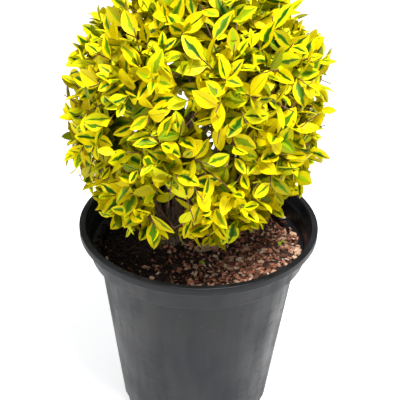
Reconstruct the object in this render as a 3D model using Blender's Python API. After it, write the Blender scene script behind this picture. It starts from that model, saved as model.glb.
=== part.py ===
"""Potted golden privet: a many-stemmed variegated shrub in a round black nursery pot.

Metres, +Z up. The origin is the middle of the pot's flat underside. The front of
the plant faces -Y. Stems fan out of a short stool on the compost, each carries side
boughs, and every stem and bough ends where it enters a mass of leafy twigs. The masses
share out the rounded crown between them, each keeping to its own cell of it.
"""

import math
import random

import bmesh
import bpy
from mathutils import Matrix, Vector
from mathutils.bvhtree import BVHTree

# Pot, a turned plastic shell
POT_HEIGHT = 0.263
RIM_RADIUS = 0.140
LIP_HEIGHT = 0.0094
LIP_WIDTH = 0.0070
LIP_CHAMFER = 0.0008
BAND_TOP_RADIUS = 0.1330
BAND_FOOT_RADIUS = 0.1285
BAND_DEPTH = 0.0368
LEDGE_RISE = 0.0011
BODY_TOP_RADIUS = 0.1187
BODY_FOOT_RADIUS = 0.0953
FOOT_ROUND = 0.0085
INNER_ROUND = 0.0060
WALL = 0.0021
FLOOR = 0.0026
POT_SEGMENTS = 40
FOOT_SLOTS = 8
FOOT_SLOT_WIDTH = 0.016
FOOT_SLOT_HEIGHT = 0.0125
FOOT_SLOT_INNER = 0.083

# Compost that fills the pot
GAP = 0.0003
SOIL_LEVEL = 0.2210
SOIL_LOW = 0.0030
SOIL_TILT = 0.028
SOIL_PAD = 0.024
SOIL_RINGS = 5
SOIL_SEGMENTS = 30

# Stool and limbs
STOOL = Vector((-0.034, 0.014, SOIL_LEVEL + GAP))
STOOL_RADIUS = 0.0112
STOOL_TOP_RADIUS = 0.0094
STOOL_FLARE = 0.0052
STOOL_HEIGHT = 0.017
STOOL_ROOTS = 5
STOOL_SIDES = 20
OUTER_STEMS = 6
STEM_RADIUS = 0.0034
STEM_TIP_RADIUS = 0.0017
STEM_RING = 0.0062
STEM_SPLAY = 0.34
LEADER_SPLAY = 0.10
STEM_SIDES = 7
STEM_RINGS = 6
SKIRT_FORK = 0.27
WAIST_FORK = 0.50
TOP_FORK = 0.70
BOUGH_RADIUS = 0.0023
BOUGH_TIP_RADIUS = 0.0014
BOUGH_SIDES = 6
BOUGH_RINGS = 5
BOUGH_ARCH = 0.35
BOUGH_SWINGS = (0.0, 0.25, -0.25, 0.5, -0.5, 0.8, -0.8)

# Crown, a rounded head shared out among the masses
CROWN = Vector((-0.004, 0.0, 0.392))
CROWN_RADIUS = 0.146
CROWN_LEAN = 0.060
CELL_GAP = 0.0006
LIMB_GAP = 0.0006
RIM_GAP = 0.0015

# Twigs and leaves of a mass
SHOOTS = 7
SHOOT_BENDS = 1
STEM_BENDS = 2
STEM_COLLAR = 0.004
SHOOT_SPREAD = math.radians(33)
TWIG_RADIUS = 0.0017
TWIG_TIP_RADIUS = 0.0012
SHOOT_RADIUS = 0.0008
SHOOT_TIP_RADIUS = 0.0006
LEAVES_PER_MASS = 22
LEAF_LENGTH = 0.048
LEAF_WIDTH = 0.028
LEAF_THICK = 0.0009
LEAF_FOLD = 0.16
LEAF_STALK = 0.18
LEAF_SPACING = 0.0135
LEAF_TIP_GAP = 0.0025
LEAF_SINK = 0.00025
FIRST_SEED = 200
GOLDEN_ANGLE = math.pi * (3 - math.sqrt(5))

# The rings of masses: name, height angle, first azimuth, count, reach, share where a limb ends
RINGS = (
    ("skirt", math.radians(-37), math.radians(48), 6, 0.99, 0.62),
    ("waist", math.radians(-3), math.radians(18), 6, 1.00, 0.52),
    ("shoulder", math.radians(35), math.radians(48), 6, 1.06, 0.46),
    ("top", math.radians(76), math.radians(20), 2, 1.03, 0.45),
)

PLASTIC = ("black_plastic", (0.028, 0.030, 0.034), 0.45)
COMPOST = ("bark_compost", (0.060, 0.034, 0.022), 0.95)
BARK = ("stem_bark", (0.140, 0.100, 0.065), 0.85)
LEAF = ("golden_leaf", (0.720, 0.640, 0.030), 0.40)


def clear_scene():
    """Remove the objects of the opening scene."""
    for thing in list(bpy.data.objects):
        bpy.data.objects.remove(thing, do_unlink=True)


def finish(name, colour, roughness):
    """A plain material of one colour."""
    material = bpy.data.materials.get(name) or bpy.data.materials.new(name)
    material.use_nodes = True
    shader = material.node_tree.nodes["Principled BSDF"]
    shader.inputs["Base Color"].default_value = (*colour, 1.0)
    shader.inputs["Roughness"].default_value = roughness
    shader.inputs["Metallic"].default_value = 0.0
    return material


def add_object(name, mesh_maker, look, smooth=True):
    """Link an object whose mesh is the closed surface held by a bmesh."""
    mesh = bpy.data.meshes.new(name)
    bmesh.ops.recalc_face_normals(mesh_maker, faces=mesh_maker.faces)
    mesh_maker.to_mesh(mesh)
    mesh_maker.free()
    mesh.materials.append(finish(*look))
    thing = bpy.data.objects.new(name, mesh)
    bpy.context.scene.collection.objects.link(thing)
    if smooth:
        mesh.shade_smooth()
        mesh.set_sharp_from_angle(angle=math.radians(35))
    return thing


def apply_boolean(thing, operation, solver, other=None, group=None):
    """Cut or join another object, or a collection's objects, and keep the result."""
    cut = thing.modifiers.new("join", "BOOLEAN")
    cut.operation = operation
    cut.solver = solver
    if group is None:
        cut.object = other
    else:
        cut.operand_type = "COLLECTION"
        cut.collection = group
    graph = bpy.context.evaluated_depsgraph_get()
    result = bpy.data.meshes.new_from_object(thing.evaluated_get(graph))
    thing.modifiers.remove(cut)
    old = thing.data
    thing.data = result
    bpy.data.meshes.remove(old)


def discard(thing):
    """Remove a helper object with its mesh."""
    mesh = thing.data
    bpy.data.objects.remove(thing, do_unlink=True)
    bpy.data.meshes.remove(mesh)


def turned(profile, segments):
    """A bmesh turned about +Z from an open profile of (radius, height) that ends on the axis."""
    shape = bmesh.new()
    verts = [shape.verts.new((radius, 0.0, height)) for radius, height in profile]
    edges = [shape.edges.new(pair) for pair in zip(verts, verts[1:])]
    bmesh.ops.spin(shape, geom=verts + edges, cent=(0, 0, 0), axis=(0, 0, 1),
                   angle=math.tau, steps=segments, use_duplicate=False)
    bmesh.ops.remove_doubles(shape, verts=shape.verts, dist=0.00002)
    return shape


def body_radius(height):
    """Outer radius of the pot's plain body at a height."""
    top = POT_HEIGHT - BAND_DEPTH
    share = (height - FOOT_ROUND) / (top - FOOT_ROUND)
    return BODY_FOOT_RADIUS + (BODY_TOP_RADIUS - BODY_FOOT_RADIUS) * share


def wall_radius(height):
    """Radius of the pot's inner wall below the ledge at a height."""
    low = FLOOR + FOOT_ROUND
    high = POT_HEIGHT - BAND_DEPTH + WALL
    share = (height - low) / (high - low)
    narrow = body_radius(low) - WALL
    return narrow + (BODY_TOP_RADIUS - WALL - narrow) * share


def compost_radius(height):
    """Radius of the compost at a height, clear of the flats of the pot's inner wall."""
    return wall_radius(height) * math.cos(math.pi / POT_SEGMENTS) - GAP


def pot_profile():
    """The pot's section from the middle of the underside, round the lip, to the floor."""
    lip_foot = POT_HEIGHT - LIP_HEIGHT
    band_foot = POT_HEIGHT - BAND_DEPTH
    foot_middle = body_radius(FOOT_ROUND) - FOOT_ROUND
    outside = [(0.0, 0.0), (foot_middle, 0.0)]
    for step in (1, 2, 3):
        turn = step * math.pi / 6
        outside.append((foot_middle + FOOT_ROUND * math.sin(turn), FOOT_ROUND * (1 - math.cos(turn))))
    outside += [
        (BODY_TOP_RADIUS, band_foot),
        (BAND_FOOT_RADIUS, band_foot + LEDGE_RISE),
        (BAND_TOP_RADIUS, lip_foot),
        (RIM_RADIUS - LIP_CHAMFER, lip_foot),
        (RIM_RADIUS, lip_foot + LIP_CHAMFER),
        (RIM_RADIUS, POT_HEIGHT - LIP_CHAMFER),
        (RIM_RADIUS - LIP_CHAMFER, POT_HEIGHT),
    ]
    inside = [
        (RIM_RADIUS - LIP_WIDTH, POT_HEIGHT),
        (BAND_TOP_RADIUS - WALL, lip_foot - WALL),
        (BAND_FOOT_RADIUS - WALL, band_foot + LEDGE_RISE + WALL),
        (wall_radius(band_foot + WALL), band_foot + WALL),
        (wall_radius(FLOOR + FOOT_ROUND), FLOOR + FOOT_ROUND),
        (wall_radius(FLOOR + FOOT_ROUND) - INNER_ROUND, FLOOR),
        (0.0, FLOOR),
    ]
    return outside + inside


def build_pot():
    """The turned pot with its drain slots cut through the corner of wall and floor."""
    pot = add_object("pot", turned(pot_profile(), POT_SEGMENTS), PLASTIC)
    reach = BODY_FOOT_RADIUS + 0.01
    for index in range(FOOT_SLOTS):
        turn = Matrix.Rotation((index + 0.5) * math.tau / FOOT_SLOTS, 4, "Z")
        shape = bmesh.new()
        bmesh.ops.create_cube(shape, size=1.0)
        size = Vector((reach - FOOT_SLOT_INNER, FOOT_SLOT_WIDTH, FOOT_SLOT_HEIGHT * 2))
        bmesh.ops.scale(shape, vec=size, verts=shape.verts)
        bmesh.ops.translate(shape, vec=((reach + FOOT_SLOT_INNER) / 2, 0, 0), verts=shape.verts)
        bmesh.ops.transform(shape, matrix=turn, verts=shape.verts)
        cutter = add_object("slot_cutter", shape, PLASTIC, smooth=False)
        apply_boolean(pot, "DIFFERENCE", "EXACT", other=cutter)
        discard(cutter)
    return pot


def soil_height(x, y):
    """Height of the compost: heaped to the front right, level under the stool."""
    lumps = math.sin(x * 61 + 1.0) * math.cos(y * 53) + 0.6 * math.sin(x * 97 - y * 83)
    open_ground = SOIL_LEVEL + SOIL_TILT * (x - y) * 0.7 + SOIL_LOW * 0.35 * lumps
    away = math.hypot(x - STOOL.x, y - STOOL.y)
    share = min(max((away - SOIL_PAD) / SOIL_PAD, 0.0), 1.0)
    share = share * share * (3 - 2 * share)
    return SOIL_LEVEL + (open_ground - SOIL_LEVEL) * share


def build_soil():
    """The compost as one filled solid, clear of the pot's inner wall and floor."""
    shape = bmesh.new()
    rings = []
    for ring in range(1, SOIL_RINGS + 1):
        share = (ring / SOIL_RINGS) ** 0.8
        rings.append(soil_ring(shape, compost_radius(SOIL_LEVEL) * share, None, ring == SOIL_RINGS))
    corner = FLOOR + FOOT_ROUND
    rings.append(soil_ring(shape, compost_radius(corner), corner))
    rings.append(soil_ring(shape, compost_radius(corner) - INNER_ROUND - GAP, FLOOR + GAP))
    middle = shape.verts.new((0, 0, soil_height(0, 0)))
    for segment in range(SOIL_SEGMENTS):
        after = (segment + 1) % SOIL_SEGMENTS
        shape.faces.new((middle, rings[0][segment], rings[0][after]))
        for inner, outer in zip(rings, rings[1:]):
            shape.faces.new((inner[segment], outer[segment], outer[after], inner[after]))
    shape.faces.new(list(reversed(rings[-1])))
    return add_object("compost", shape, COMPOST)


def soil_ring(shape, radius, level, fits_wall=False):
    """A ring of vertices at a level, or on the compost's surface, out to the wall if asked."""
    row = []
    for segment in range(SOIL_SEGMENTS):
        angle = segment * math.tau / SOIL_SEGMENTS
        height = level
        if level is None:
            height = soil_height(radius * math.cos(angle), radius * math.sin(angle))
        reach = compost_radius(height) if fits_wall else radius
        row.append(shape.verts.new((reach * math.cos(angle), reach * math.sin(angle), height)))
    return row


def build_stool():
    """The short stump the stems rise from, flared into root lobes at the compost."""
    return add_object("stool", stool_shape(0.0), BARK)


def stool_shape(swell):
    """The stool's closed surface, swollen outwards by a small amount."""
    levels = ((0.0, 1.0), (0.16, 0.55), (0.40, 0.18), (0.72, 0.0), (0.93, -0.06), (1.0, -0.30))
    shape = bmesh.new()
    rows = []
    for share, flare in levels:
        row = []
        height = STOOL_HEIGHT * share + (swell if share == 1.0 else 0.0) - (swell if share == 0.0 else 0.0)
        plain = STOOL_RADIUS + (STOOL_TOP_RADIUS - STOOL_RADIUS) * share
        for segment in range(STOOL_SIDES):
            angle = segment * math.tau / STOOL_SIDES
            lobe = 0.55 + 0.45 * math.cos(STOOL_ROOTS * angle)
            spread = flare * (lobe if flare > 0 else 1.0)
            radius = plain + STOOL_FLARE * spread + swell
            row.append(shape.verts.new((radius * math.cos(angle), radius * math.sin(angle), height)))
        rows.append(row)
    for lower, upper in zip(rows, rows[1:]):
        for segment in range(STOOL_SIDES):
            after = (segment + 1) % STOOL_SIDES
            shape.faces.new((lower[segment], lower[after], upper[after], upper[segment]))
    shape.faces.new(list(reversed(rows[0])))
    shape.faces.new(rows[-1])
    bmesh.ops.translate(shape, vec=STOOL, verts=shape.verts)
    return shape


def tube(path, radii, sides, swell=0.0):
    """A closed tube of some sides along a path, its frame carried along without twist."""
    shape = bmesh.new()
    rows = []
    side = None
    for index, point in enumerate(path):
        ahead = path[min(index + 1, len(path) - 1)]
        behind = path[max(index - 1, 0)]
        along = (ahead - behind).normalized()
        if side is None:
            side = along.orthogonal().normalized()
        side = (side - along * side.dot(along)).normalized()
        other = along.cross(side)
        row = []
        for number in range(sides):
            angle = number * math.tau / sides
            spoke = side * math.cos(angle) + other * math.sin(angle)
            row.append(shape.verts.new(point + spoke * (radii[index] + swell)))
        rows.append(row)
    for lower, upper in zip(rows, rows[1:]):
        for number in range(sides):
            after = (number + 1) % sides
            shape.faces.new((lower[number], lower[after], upper[after], upper[number]))
    shape.faces.new(list(reversed(rows[0])))
    shape.faces.new(rows[-1])
    return shape


class Limb:
    """One tapering stem or bough along a bent path."""

    def __init__(self, name, start, pull, end, radii, sides, rings):
        self.name = name
        self.sides = sides
        self.path = bent(start, pull, end, rings)
        base, tip = radii
        self.radii = [base + (tip - base) * (step / rings) ** 0.9 for step in range(rings + 1)]

    def at(self, share):
        """The point at a share of the limb's length."""
        place = share * (len(self.path) - 1)
        index = min(int(place), len(self.path) - 2)
        return self.path[index].lerp(self.path[index + 1], place - index)

    def heading(self):
        """The direction in which the limb's tip points."""
        return (self.path[-1] - self.path[-2]).normalized()

    def swollen(self, gap):
        """The limb's surface grown by a gap, as a bmesh."""
        return tube(self.path, self.radii, self.sides, gap)

    def build(self, parent_shape):
        """Add the limb's object, its foot cut by its parent grown by the gap."""
        limb = add_object(self.name, self.swollen(0.0), BARK)
        cutter = add_object("parent_cutter", parent_shape, BARK, smooth=False)
        apply_boolean(limb, "DIFFERENCE", "EXACT", other=cutter)
        discard(cutter)
        return limb


def direction(height_angle, azimuth):
    """The unit vector of a height angle and an azimuth."""
    level = math.cos(height_angle)
    return Vector((level * math.cos(azimuth), level * math.sin(azimuth), math.sin(height_angle)))


class Mass:
    """One mass of foliage: its heading from the crown's middle, its reach and its cell."""

    def __init__(self, ring, number, heading, reach, door):
        self.name = f"foliage_{ring}_{number}"
        self.ring = ring
        self.heading = heading
        self.reach = CROWN_RADIUS * (reach - CROWN_LEAN * heading.x * (0.5 - heading.z))
        self.middle = CROWN + heading * (0.8 * self.reach)
        self.door = CROWN + heading * (door * self.reach)

    def holds(self, point, masses):
        """Whether a point lies in the mass's cell of the crown and clear of the pot."""
        if (point - CROWN).length > self.reach:
            return False
        away = math.hypot(point.x, point.y)
        if point.z < POT_HEIGHT + RIM_GAP and away > RIM_RADIUS - LIP_WIDTH - 0.018:
            return False
        if point.z < SOIL_LEVEL + 0.006:
            return False
        for other in masses:
            if other is self:
                continue
            apart = self.middle - other.middle
            middle = (self.middle + other.middle) / 2
            if (point - middle).dot(apart) / apart.length < CELL_GAP:
                return False
        return True


def crown_masses():
    """All masses, ring by ring from the skirt to the top."""
    masses = []
    for ring, height_angle, first, count, reach, door in RINGS:
        for number in range(count):
            heading = direction(height_angle, first + number * math.tau / count)
            masses.append(Mass(ring, number + 1, heading, reach, door))
    return masses


def plan_limbs(masses):
    """Every stem and bough with its parent, and the limb that carries each mass."""
    by_ring = {ring: [mass for mass in masses if mass.ring == ring] for ring, *_ in RINGS}
    limbs = []
    wanted = []
    carriers = {}
    stool_top = STOOL + Vector((0, 0, STOOL_HEIGHT * 0.6))
    for number in range(OUTER_STEMS + 1):
        leader = number == OUTER_STEMS
        mass = by_ring["top"][0] if leader else by_ring["shoulder"][number]
        spoke = Vector((mass.heading.x, mass.heading.y, 0)).normalized()
        start = stool_top + (Vector() if leader else spoke * STEM_RING)
        rise = (mass.door - start).length
        lean = LEADER_SPLAY if leader else STEM_SPLAY
        pull = start + (Vector((0, 0, 1)) + spoke * lean).normalized() * rise * 0.55
        stem = Limb(f"stem_{number + 1}", start, pull, mass.door,
                    (STEM_RADIUS, STEM_TIP_RADIUS), STEM_SIDES, STEM_RINGS)
        limbs.append((stem, None))
        carriers[mass.name] = stem
        if leader:
            forks = ((by_ring["top"][1], TOP_FORK),)
        else:
            forks = ((by_ring["waist"][number], WAIST_FORK), (by_ring["skirt"][number], SKIRT_FORK))
        for mass, share in forks:
            wanted.append((mass, stem, share))
    for mass, stem, share in wanted:
        bough = clear_bough(mass, stem, share, [limb for limb, _ in limbs if limb is not stem])
        limbs.append((bough, stem))
        carriers[mass.name] = bough
    return limbs, carriers


def clear_bough(mass, stem, share, others):
    """The bough from a stem to its mass, swung sideways until it clears the other limbs."""
    trees = [limb_tree(limb) for limb in others]
    for swing in BOUGH_SWINGS:
        foot = stem.at(share)
        straight = mass.door - foot
        sideways = straight.cross(Vector((0, 0, 1))).normalized()
        bend = straight.normalized() + Vector((0, 0, BOUGH_ARCH)) + sideways * swing
        pull = foot + bend * (straight.length * 0.45)
        bough = Limb(f"bough_{mass.ring}_{mass.name[-1]}", foot, pull, mass.door,
                     (BOUGH_RADIUS, BOUGH_TIP_RADIUS), BOUGH_SIDES, BOUGH_RINGS)
        tree = limb_tree(bough)
        if not any(tree.overlap(other) for other in trees):
            return bough
    raise ValueError(f"no clear way to {mass.name}")


def shoot_targets(mass, rng):
    """Points on the crown's surface over the mass, evenly spread, that its shoots head for."""
    side = mass.heading.orthogonal().normalized()
    other = mass.heading.cross(side)
    turn = rng.uniform(0, math.tau)
    targets = []
    for number in range(SHOOTS):
        spread = SHOOT_SPREAD * math.sqrt((number + 0.25) / SHOOTS)
        angle = turn + number * GOLDEN_ANGLE
        sideways = side * math.cos(angle) + other * math.sin(angle)
        aim = mass.heading * math.cos(spread) + sideways * math.sin(spread)
        targets.append((spread / SHOOT_SPREAD, CROWN + aim * mass.reach))
    return targets


def bent(start, pull, end, count):
    """Points along a smooth bend from start to end."""
    return [
        start * (1 - share) ** 2 + pull * (2 * share * (1 - share)) + end * share**2
        for share in (step / count for step in range(count + 1))
    ]


def tapered(base, tip, count):
    """Radii that taper evenly from base to tip."""
    return [base + (tip - base) * step / count for step in range(count + 1)]


def leaf_corners(root, midrib, face, length):
    """The six corners of a folded leaf: root, left, tip, right, upper and lower middle."""
    across = midrib.cross(face).normalized()
    face = across.cross(midrib).normalized()
    half = length * LEAF_WIDTH / LEAF_LENGTH / 2
    belly = root + midrib * (length * 0.48)
    raised = face * (half * 2 * LEAF_FOLD)
    return (
        root,
        belly - across * half + raised,
        root + midrib * length,
        belly + across * half + raised,
        belly + face * (LEAF_THICK / 2),
        belly - face * (LEAF_THICK / 2),
    )


def leaf_shape(corners):
    """A leaf of eight faces over its six corners."""
    shape = bmesh.new()
    root, left, tip, right, top, bottom = (shape.verts.new(corner) for corner in corners)
    rim = (root, right, tip, left)
    for number in range(4):
        after = (number + 1) % 4
        shape.faces.new((rim[number], rim[after], top))
        shape.faces.new((rim[after], rim[number], bottom))
    return shape


def leaf_tree(corners):
    """A search tree over a leaf's faces."""
    faces = []
    for number in range(4):
        rim = (0, 3, 2, 1)
        after = (number + 1) % 4
        faces.append((rim[number], rim[after], 4))
        faces.append((rim[after], rim[number], 5))
    return BVHTree.FromPolygons(corners, faces)


def shoot_tree(path, radii):
    """A search tree over a shoot's surface."""
    shape = tube(path, radii, 3)
    tree = BVHTree.FromBMesh(shape)
    shape.free()
    return tree


def limb_tree(limb):
    """A search tree over a limb's surface grown by the gap kept to it."""
    shape = limb.swollen(LIMB_GAP)
    tree = BVHTree.FromBMesh(shape)
    shape.free()
    return tree


def inside_all(points, mass, masses):
    """Whether every point lies in the mass's own space."""
    return all(mass.holds(point, masses) for point in points)


def grow_shoots(mass, carrier, masses, trees, rng):
    """The mass's stem and side shoots as (path, radii) pairs, from the carrying limb's tip."""
    start = carrier.path[-1] + carrier.heading() * GAP
    end = CROWN + mass.heading * (mass.reach * 0.86)
    collar = start + carrier.heading() * STEM_COLLAR
    pull = start + carrier.heading() * ((end - start).length * 0.4)
    main = [start] + bent(collar, pull, end, STEM_BENDS)
    shoots = [(main, tapered(TWIG_RADIUS, TWIG_TIP_RADIUS, len(main) - 1))]
    for spread, target in shoot_targets(mass, rng):
        if spread < 0.3:
            continue
        fork = 0.62 - 0.50 * spread + rng.uniform(-0.05, 0.05)
        place = 1 + max(fork, 0.05) * STEM_BENDS
        index = int(place)
        foot = main[index].lerp(main[index + 1], place - index)
        ahead = (main[index + 1] - main[index]).normalized()
        for share in (0.90, 0.80, 0.68, 0.55):
            tip = foot.lerp(target, share)
            pull = foot + ((tip - foot).normalized() * 0.7 + ahead * 0.45) * ((tip - foot).length * 0.5)
            path = bent(foot, pull, tip, SHOOT_BENDS)
            radii = tapered(SHOOT_RADIUS, SHOOT_TIP_RADIUS, SHOOT_BENDS)
            shape = tube(path, radii, 3)
            clear = inside_all([vert.co for vert in shape.verts], mass, masses)
            tree = BVHTree.FromBMesh(shape)
            shape.free()
            if clear and not any(tree.overlap(other) for other in trees):
                shoots.append((path, radii))
                break
    return shoots


def leaf_candidates(shoots, rng):
    """Leaves in crossed pairs along the outer part of each shoot, tip pairs first."""
    candidates = []
    for number, (path, _) in enumerate(shoots):
        length = sum((b - a).length for a, b in zip(path, path[1:]))
        stations = max(1, int(length * 0.75 / LEAF_SPACING))
        side = path[1].cross(path[0] + Vector((0.3, 0.2, 0.1))).normalized()
        for station in range(stations + 1):
            share = 1.0 - (LEAF_TIP_GAP + station * LEAF_SPACING) / length
            if share < 0.12:
                break
            place = share * (len(path) - 1)
            index = min(int(place), len(path) - 2)
            root = path[index].lerp(path[index + 1], place - index)
            along = (path[index + 1] - path[index]).normalized()
            side = (side - along * side.dot(along)).normalized()
            cross = along.cross(side)
            crossed = side if station % 2 else cross
            opening = math.radians(38 + 16 * min(station, 2))
            for turn in (-1, 1):
                lean = opening + rng.uniform(-0.14, 0.14)
                midrib = along * math.cos(lean) + crossed * (turn * math.sin(lean))
                midrib = (midrib + Vector((0, 0, 0.10))).normalized()
                face = (along + Vector((0, 0, 0.35))).normalized()
                size = LEAF_LENGTH * rng.uniform(0.80, 1.06) * (0.88 if station == 0 else 1.0)
                sunk = root - midrib * LEAF_SINK
                candidates.append((station + rng.random() * 0.6, number, sunk, midrib, face, size))
    candidates.sort(key=lambda entry: entry[0])
    return candidates


def grow_leaves(mass, shoots, masses, trees, rng):
    """The corners of the leaves that fit the mass's space, clear of limbs, evenly spread."""
    kept = []
    blades = []
    twigs = [shoot_tree(path, radii) for path, radii in shoots]
    for _, number, root, midrib, face, size in leaf_candidates(shoots, rng):
        others = twigs[:number] + twigs[number + 1:]
        for scale in (1.0, 0.85, 0.72):
            corners = leaf_corners(root, midrib, face, size * scale)
            if not inside_all(corners[1:], mass, masses):
                continue
            blade = leaf_tree((root + midrib * (size * scale * LEAF_STALK), *corners[1:]))
            if any(blade.overlap(other) for other in blades + others):
                continue
            whole = leaf_tree(corners)
            if any(whole.overlap(limb) for limb in trees):
                continue
            kept.append(corners)
            blades.append(blade)
            break
        if len(kept) == LEAVES_PER_MASS:
            break
    return kept


def keep_largest(thing):
    """Drop loose scraps, so that the mass is one closed body."""
    shape = bmesh.new()
    shape.from_mesh(thing.data)
    unseen = set(shape.verts)
    groups = []
    while unseen:
        group = [unseen.pop()]
        for vert in group:
            for edge in vert.link_edges:
                other = edge.other_vert(vert)
                if other in unseen:
                    unseen.remove(other)
                    group.append(other)
        groups.append(group)
    groups.sort(key=len, reverse=True)
    scraps = [vert for group in groups[1:] for vert in group]
    bmesh.ops.delete(shape, geom=scraps, context="VERTS")
    shape.to_mesh(thing.data)
    shape.free()


def build_mass(mass, carrier, masses, trees, seed):
    """Fuse a mass's twigs and leaves into one object."""
    rng = random.Random(seed)
    shoots = grow_shoots(mass, carrier, masses, trees, rng)
    leaves = grow_leaves(mass, shoots, masses, trees, rng)
    group = bpy.data.collections.new("mass_pieces")
    pieces = []
    for path, radii in shoots[1:]:
        pieces.append(add_object("twig_piece", tube(path, radii, 3), LEAF, smooth=False))
    for corners in leaves:
        pieces.append(add_object("leaf_piece", leaf_shape(corners), LEAF, smooth=False))
    for piece in pieces:
        group.objects.link(piece)
    body = add_object(mass.name, tube(*shoots[0], 4), LEAF, smooth=False)
    apply_boolean(body, "UNION", "EXACT", group=group)
    for piece in pieces:
        discard(piece)
    bpy.data.collections.remove(group)
    keep_largest(body)
    return body


def main():
    """Build the pot, the compost, the limbs and the masses."""
    clear_scene()
    build_pot()
    build_soil()
    build_stool()
    masses = crown_masses()
    limbs, carriers = plan_limbs(masses)
    for limb, parent in limbs:
        limb.build(stool_shape(GAP) if parent is None else parent.swollen(GAP))
    trees = [limb_tree(limb) for limb, _ in limbs]
    for number, mass in enumerate(masses):
        build_mass(mass, carriers[mass.name], masses, trees, FIRST_SEED + number)


main()
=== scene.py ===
"""Looks of the potted golden privet: pot, compost, bark, twigs and variegated leaves."""

import logging
import math
import random
from dataclasses import dataclass, field
from enum import Enum

import bmesh
import bpy
from mathutils import Matrix, Vector, noise
from mathutils.bvhtree import BVHTree


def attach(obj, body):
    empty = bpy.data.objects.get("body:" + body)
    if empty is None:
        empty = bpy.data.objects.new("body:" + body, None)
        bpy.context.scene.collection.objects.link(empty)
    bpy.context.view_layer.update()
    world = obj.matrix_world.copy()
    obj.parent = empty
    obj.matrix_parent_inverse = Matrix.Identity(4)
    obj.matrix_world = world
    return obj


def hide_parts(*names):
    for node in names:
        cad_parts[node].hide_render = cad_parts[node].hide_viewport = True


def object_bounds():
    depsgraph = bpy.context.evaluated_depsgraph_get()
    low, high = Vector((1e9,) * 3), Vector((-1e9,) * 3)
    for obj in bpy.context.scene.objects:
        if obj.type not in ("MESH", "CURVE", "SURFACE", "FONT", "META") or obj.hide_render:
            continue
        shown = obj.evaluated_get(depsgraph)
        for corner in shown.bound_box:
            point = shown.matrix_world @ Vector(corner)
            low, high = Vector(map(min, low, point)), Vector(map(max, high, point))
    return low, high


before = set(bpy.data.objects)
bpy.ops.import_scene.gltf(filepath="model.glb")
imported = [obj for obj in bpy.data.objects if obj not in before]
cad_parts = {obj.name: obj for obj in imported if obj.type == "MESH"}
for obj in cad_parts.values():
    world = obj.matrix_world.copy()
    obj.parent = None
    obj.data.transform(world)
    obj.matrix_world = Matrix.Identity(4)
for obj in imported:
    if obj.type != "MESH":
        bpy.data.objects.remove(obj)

CAD_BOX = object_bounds()
LOG = logging.getLogger("privet")
BODY = "root"
GOLDEN_ANGLE = math.pi * (3 - math.sqrt(5))
UP = Vector((0, 0, 1))
POT_HEIGHT = 0.263
RIM_RADIUS = 0.140
LIP_WIDTH = 0.007
SOIL_LEVEL = 0.2210
STOOL = Vector((-0.034, 0.014, 0.2213))
STOOL_HEIGHT = 0.017
Path = list[Vector]
Look = bpy.types.Material
Shape = bmesh.types.BMesh


class Signal:
    """A shader socket that can be used in arithmetic."""

    def __init__(self, sheet: "Sheet", socket: bpy.types.NodeSocket) -> None:
        """Keep the material sheet and the socket."""
        self.sheet = sheet
        self.socket = socket

    def _math(self, operation: str, *values: "Signal | float") -> "Signal":
        """Add a Math node for an operation on values."""
        return self.sheet.node("ShaderNodeMath", {"operation": operation}, dict(enumerate(values)))

    def __add__(self, other: "Signal | float") -> "Signal":
        """Sum."""
        return self._math("ADD", self, other)

    __radd__ = __add__

    def __sub__(self, other: "Signal | float") -> "Signal":
        """Difference."""
        return self._math("SUBTRACT", self, other)

    def __rsub__(self, other: float) -> "Signal":
        """Reflected difference."""
        return self._math("SUBTRACT", other, self)

    def __mul__(self, other: "Signal | float") -> "Signal":
        """Product."""
        return self._math("MULTIPLY", self, other)

    __rmul__ = __mul__

    def ramp(self, low: float, high: float) -> "Signal":
        """Rise smoothly from 0 to 1.

        Args:
            low: The value that gives 0.
            high: The value that gives 1.

        Returns:
            The smooth step.
        """
        settings = {"interpolation_type": "SMOOTHSTEP"}
        inputs = {"Value": self, "From Min": low, "From Max": high}
        return self.sheet.node("ShaderNodeMapRange", settings, inputs)


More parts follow.
